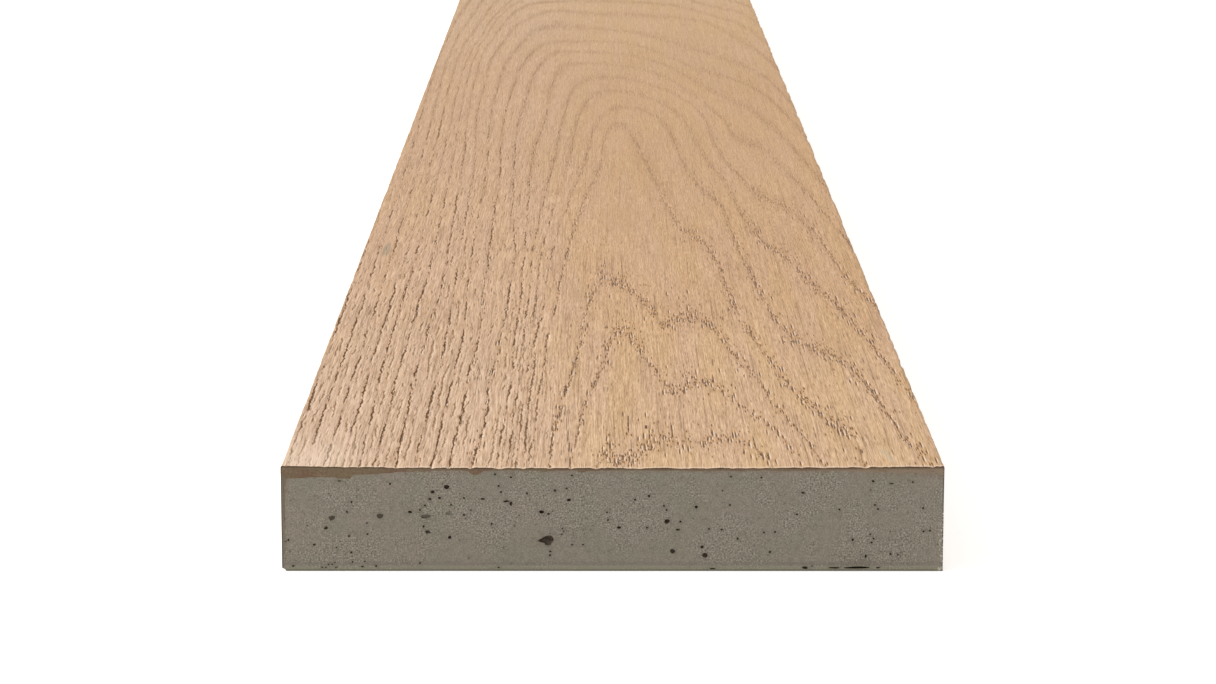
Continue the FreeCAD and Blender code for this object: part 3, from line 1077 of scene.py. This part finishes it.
def grain_material():
    """Brushed oak grain in coloured resin."""
    n = Nodes("moulded_oak_grain", 0.18)
    across, along, ring = n.split(n.stored("grain", "Vector"))
    trend = n.split(n.stored("trend", "Vector"))
    side, spacing, band = trend
    upright = abs(side)
    left = across.step(8.0, -48.0)
    near = along.step(left * 320.0 + 820.0, 120.0)
    base, wavy, (fine, short_fine, thick) = grain_base(n, across, along, left, near)

    # The rings' bands of pores.
    off = ring - n.math("ROUND", ring)
    ragged = n.streaks(across, along, 1.2, 9.0, 21.0)
    in_band = off / band + 0.4 + (ragged - 0.5) * 1.5
    early = in_band.step(-0.1, 0.15) * in_band.step(1.0, 0.35)
    wide = spacing.step(4.5, 9.0)
    clumps = n.streaks(across, along, 5.0, 22.0, 33.0).ramp(0.35, 0.6, 0.4, 1.4)
    skirt = in_band.step(-1.2, 0.0) * in_band.step(2.4, 0.8) * wide * 0.16
    crowd = n.highest(early * (wide * 0.56 + 0.32) * clumps, skirt) + 0.025
    short_one, around_one = pores(n, across, along, 0.9, 17.0, crowd, 3.0)
    short_two, around_two = pores(n, across + along * 0.02, along, 0.7, 7.0, crowd * 0.85, 7.0)
    # Painted highlights: pale specks just right of the pores, as if lit from the left.
    flecks, _ = pores(n, across - 0.45, along, 0.9, 17.0, crowd, 3.0)
    scratches, _ = pores(n, wavy, along, 1.3, 24.0, left * 0.22 + 0.27, 12.0, 0.1, 0.24)
    hair = n.streaks(wavy, along, 0.8, 100.0, 47.0, 1.0)
    short = n.highest(short_one, short_two)

    # The long grooves, most of them left of the middle.
    main, main_flanks, main_pale = grooves(n, along, ring, trend, 5.0, 0.23, 1.6, 0.39, 32.0)
    second, second_flanks, second_pale = grooves(n, along, ring + 0.5, trend, 31.0, 0.19, 3.0, 0.435, 24.0)
    third, third_flanks, third_pale = grooves(n, along, ring + 0.25, trend, 57.0, 0.15, 4.0, 0.49, 20.0)
    straight = upright * (left * 0.6 + 0.4)
    on_left = upright * left
    long_one = main * straight
    long_two = n.highest(second, third) * on_left * (near * 0.3 + 0.7)
    # Painted highlights on the right flanks of the grooves.
    pale = n.highest(main_pale * straight, second_pale * on_left, third_pale * on_left * 0.8)
    flanks = n.highest(main_flanks * straight, second_flanks * on_left * 0.8, third_flanks * on_left * 0.7)
    stained = n.highest(flanks, around_one, around_two)

    # The rings as soft lines, faint where they cross the board far from the near end.
    broken = n.streaks(across, along, 7.0, 44.0, 61.0, 3.0, 0.65).step(0.32, 0.6, 0.15, 1.0)
    crest = upright.step(0.75, 0.35) * across.step(-38.0, -8.0)
    faint = crest * along.step(810.0, 900.0) * along.step(1400.0, 1150.0, 0.5, 1.0)
    soft = abs(off).step(0.3, 0.0) * near.step(1.0, 0.0, 0.3, 1.0) * broken
    soft = soft * (left * 0.25 + 0.58) * (1.0 - faint * 0.6)

    sharp = near * 0.8 + 0.2
    colour = n.mix(early * near * 0.14, base, BAND_MAUVE)
    colour = n.mix(soft, colour, RING_SHADE, "MULTIPLY")
    colour = n.coats(
        colour,
        (stained * sharp * 0.46, STAIN_AMBER),
        # Painted highlights on the right flanks of grooves and pores.
        (pale * sharp * 0.46, PALE_CREAM),
        (flecks * sharp * 0.68, PALE_CREAM),
        (hair.step(0.37, 0.31) * sharp * 0.36, PORE_BROWN),
        (scratches * sharp * 0.48, PORE_BROWN),
        (short * sharp * 0.88, PORE_BROWN),
        (long_two * sharp * 0.62, PORE_BROWN),
        (long_one * sharp * 0.92, GROOVE_BROWN),
    )
    dimmed = along.step(left * 60.0, left * 90.0 + 330.0, 0.0, left.step(0.0, 1.0, 1.0, 0.8))
    colour = n.mix(dimmed * along.step(950.0, 1400.0, 1.0, 0.25), colour, MIDDLE_SHADE, "MULTIPLY")
    colour = single_marks(n, colour, across, along, ragged)
    worn = abs(across).step(HALF_WIDTH - 1.4, HALF_WIDTH - 0.5) * ragged.step(0.4, 0.6)
    paler_front_left = along.step(70.0, 0.0) * across.step(-68.0, -92.0) * across.step(-102.0, -100.4)
    colour = n.coats(
        colour,
        (worn * 0.5, tone(164, 136, 98)),
        # Painted highlight along the sawn near edge, and the front left edge made paler.
        (n.highest(along.step(2.6, 0.5), paler_front_left) * 0.4, PALE_CREAM),
    )
    deep = n.highest(long_one, long_two * 0.7)
    height = fine * 0.26 + short_fine * 0.14 + thick * 0.3 - deep * 0.22
    height = height - n.highest(short, scratches * 0.6) * 0.14
    return n.surface(colour, fine.ramp(0.3, 0.7, 0.6, 0.72) + deep * 0.15, height)


def place_of(n):
    """Where a point is, in millimetres."""
    coordinates = n.add("ShaderNodeTexCoord", {}, "Object")
    return n.add("ShaderNodeVectorMath", {0: coordinates, "Scale": 1 / METRES}, operation="SCALE")


def cut_skin_material():
    """The skin where the saw cut it: brown, smeared and slightly uneven, darkest along its upper edge."""
    n = Nodes("sawn_skin_edge", 0.2)
    place = place_of(n)
    across, _, up = n.split(place)
    patch = n.noise(place, 2.0, scale=0.09)
    grit = n.noise(place, 3.0, 0.65, scale=1.4)
    smear = n.streaks(across, up, 5.0, 0.7, 0.0, 3.0, 0.6)
    dish = n.math("POWER", across / HALF_WIDTH, 2.0) * FACE_DISH
    under = dish + (EDGE_TOP - FACE_DISH) - up
    blurred = across.step(40.0, 70.0) * under.step(0.5, 1.3) * smear.step(0.25, 0.5)
    rim = under.step(0.7, 0.3) * smear.step(0.3, 0.5)
    outward = abs(across)
    on_side = outward.step(HALF_WIDTH - 1.2, HALF_WIDTH - 0.7) * under.step(3.0, 4.5)
    outer = outward.step(HALF_WIDTH - 0.4, HALF_WIDTH - 0.18)
    # Painted highlight: pale specks on the right edge, where its rough side catches the light.
    painted_edge_highlight = across.step(HALF_WIDTH - 0.6, HALF_WIDTH - 0.3) * up.step(21.0, 18.0) * smear.step(0.5, 0.6)
    colour = n.coats(
        tone(105, 90, 68),
        (patch.step(0.4, 0.6), tone(103, 81, 62)),
        (smear.step(0.5, 0.72, 0.0, 0.6), tone(126, 108, 86)),
        (grit.step(0.62, 0.3, 0.0, 0.6), tone(80, 60, 45)),
        (blurred * 0.75, tone(126, 110, 92)),
        (rim * 0.8, tone(64, 46, 28)),
        (on_side, tone(96, 91, 79)),
        (outer * 0.75, tone(66, 58, 48)),
        # Painted highlight on the right edge.
        (painted_edge_highlight * 0.8, tone(190, 182, 166)),
    )
    return n.surface(colour, grit.ramp(0.3, 0.7, 0.55, 0.75), grit * 0.08)


def core_material():
    """Mineral-filled resin: grey and finely mottled, greener at the foot, with painted shade in its bubbles,
    a painted contact shadow along its bottom edge and painted highlights on its right edge.
    """
    n = Nodes("mineral_resin", 0.25)
    place = place_of(n)
    across, along, up = n.split(place)
    cloud = n.noise(place, 2.0, scale=0.08)
    mottle = n.noise(place, 3.0, 0.6, scale=0.55)
    grit = n.noise(place, 2.0, 0.7, scale=1.9)
    elsewhere = n.add("ShaderNodeVectorMath", {0: place, 1: (31.0, 0.0, 17.0)})
    rough_patch = n.noise(elsewhere, 2.0, scale=0.07).step(0.4, 0.6, 0.35, 0.95)
    sawn = n.noise(n.vector(across / 26.0, up / 0.45, along / 26.0), 2.0, 0.6)
    beads = n.streaks(across, up, 0.8, 1.1, 0.0, 2.0, 0.6)
    bubble_shade_patches = n.noise(place, 2.0, 0.6, scale=1.1)

    under = CORE_TOP - up
    haze = under.step(3.6, 0.3) * across.step(62.0, 88.0) * mottle.step(0.3, 0.6)
    thin_haze = under.step(1.7, 0.2) * mottle.step(0.35, 0.6) * 0.85
    foot = up.step(FOOT + 0.7, FOOT + 0.1)
    over_foot = up.step(FOOT + 1.9, FOOT + 1.2) * up.step(FOOT + 0.2, FOOT + 0.7)
    # Painted contact shadow along the bottom edge, where the board meets the floor.
    contact_shadow = up.step(0.75, 0.4) * mottle.step(0.22, 0.42, 0.5, 1.0)
    stain = across.step(-97.0, -98.6) * up.step(20.0, 27.0) * mottle.step(0.3, 0.6) * 0.6
    streak = abs(across + 99.1).step(0.4, 0.15) * up.step(2.0, 20.0, 0.3, 1.0)
    # Painted highlight: pale specks on the right edge, where its rough side catches the light.
    painted_edge_highlight = across.step(98.1, 98.9) * up.step(17.0, 12.0) * beads.step(0.52, 0.62)
    # Painted shade inside the bubbles, patchy between darker and lighter.
    bubble_shade_colour = n.mix(bubble_shade_patches.step(0.46, 0.6), tone(46, 38, 28), tone(80, 64, 50))
    colour = n.coats(
        tone(123, 113, 101),
        (cloud.step(0.35, 0.65), tone(117, 112, 97)),
        (mottle.step(0.35, 0.68, 0.0, 0.5), tone(104, 97, 85)),
        (sawn.step(0.52, 0.7, 0.0, 0.3), tone(100, 92, 82)),
        (grit.step(0.5, 0.68) * rough_patch, tone(150, 142, 128)),
        (grit.step(0.49, 0.3) * rough_patch, tone(70, 64, 54)),
        (n.highest(haze, thin_haze) * 0.6, tone(108, 88, 70)),
        (foot * mottle.step(0.3, 0.6, 0.3, 0.65), tone(122, 119, 101)),
        (foot * grit.step(0.6, 0.72) * 0.4, tone(158, 152, 134)),
        # Painted contact shadow along the bottom edge.
        (contact_shadow * 0.42, tone(62, 58, 46)),
        (n.highest(stain, streak) * 0.75, tone(96, 74, 56)),
        (across.step(-99.3, -99.45), tone(98, 93, 80)),
        (over_foot * 0.4, tone(104, 94, 86)),
        # Painted highlight on the right edge.
        (painted_edge_highlight * 0.7, tone(178, 170, 152)),
        # Painted shade in the bubbles.
        (n.stored("painted_bubble_shade") * 0.97, bubble_shade_colour),
    )
    return n.surface(colour, mottle.ramp(0.3, 0.7, 0.62, 0.8), mottle * 0.12 + grit * 0.09)


def floor_material():
    """A pale, evenly lit studio floor."""
    n = Nodes("studio_floor", 0.0)
    n.inputs["Base Color"].default_value = (0.82, 0.82, 0.82, 1.0)
    n.inputs["Roughness"].default_value = 0.9
    n.inputs["Emission Color"].default_value = (1.0, 1.0, 1.0, 1.0)
    n.inputs["Emission Strength"].default_value = 0.5
    return n.material


# The studio.


def studio_floor():
    """A wide floor just under the board."""
    reach, under = 30.0, -0.0002
    mesh = bpy.data.meshes.new("studio_floor")
    square = ((-1, -1), (1, -1), (1, 1), (-1, 1))
    corners = [(x * reach, y * reach, under) for x, y in square]
    mesh.from_pydata(corners, [], [(0, 1, 2, 3)])
    mesh.materials.append(floor_material())
    return bpy.data.objects.new("studio_floor", mesh)


def soft_light(name, place, target, size, power):
    """A large square lamp, in metres and watts, that faces a point."""
    data = bpy.data.lights.new(name, "AREA")
    data.shape = "SQUARE"
    data.size = size
    data.energy = power
    lamp = bpy.data.objects.new(name, data)
    lamp.location = place
    lamp.rotation_euler = (Vector(target) - Vector(place)).to_track_quat("-Z", "Y").to_euler()
    bpy.context.scene.collection.objects.link(lamp)


def white_surroundings(strength):
    """Even light from all round."""
    world = bpy.data.worlds.new("studio")
    world.use_nodes = True
    background = world.node_tree.nodes["Background"]
    background.inputs["Color"].default_value = (1.0, 1.0, 1.0, 1.0)
    background.inputs["Strength"].default_value = strength
    bpy.context.scene.world = world


def photo_camera():
    """The camera that saw the photograph."""
    right, up, forward = camera_axes()
    data = bpy.data.cameras.new("camera")
    data.sensor_width = SENSOR
    data.lens = FOCAL_PIXELS * SENSOR / IMAGE_WIDTH
    data.clip_start = 0.05
    data.clip_end = 100.0
    camera = bpy.data.objects.new("camera", data)
    turn = Matrix(np.stack([right, up, -forward], 1).tolist()).to_4x4()
    camera.matrix_world = Matrix.Translation(Vector(CAMERA_PLACE) * METRES) @ turn
    bpy.context.scene.collection.objects.link(camera)
    bpy.context.scene.camera = camera


def place_pieces():
    """Puts the two pieces on the board's body, in place of their plain solids."""
    for piece, node, slot in (
        (grain_skin(), "wood_grain_skin", "grain_skin"),
        (resin_core(), "mineral_resin_core", "mineral_core"),
    ):
        bpy.context.scene.collection.objects.link(piece)
        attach(piece, "root")
        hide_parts(node)


place_pieces()
floor = studio_floor()
bpy.context.scene.collection.objects.link(floor)
photo_camera()
white_surroundings(SURROUNDINGS)
for light in LIGHTS:
    soft_light(*light)
bpy.context.scene.view_settings.view_transform = "Standard"
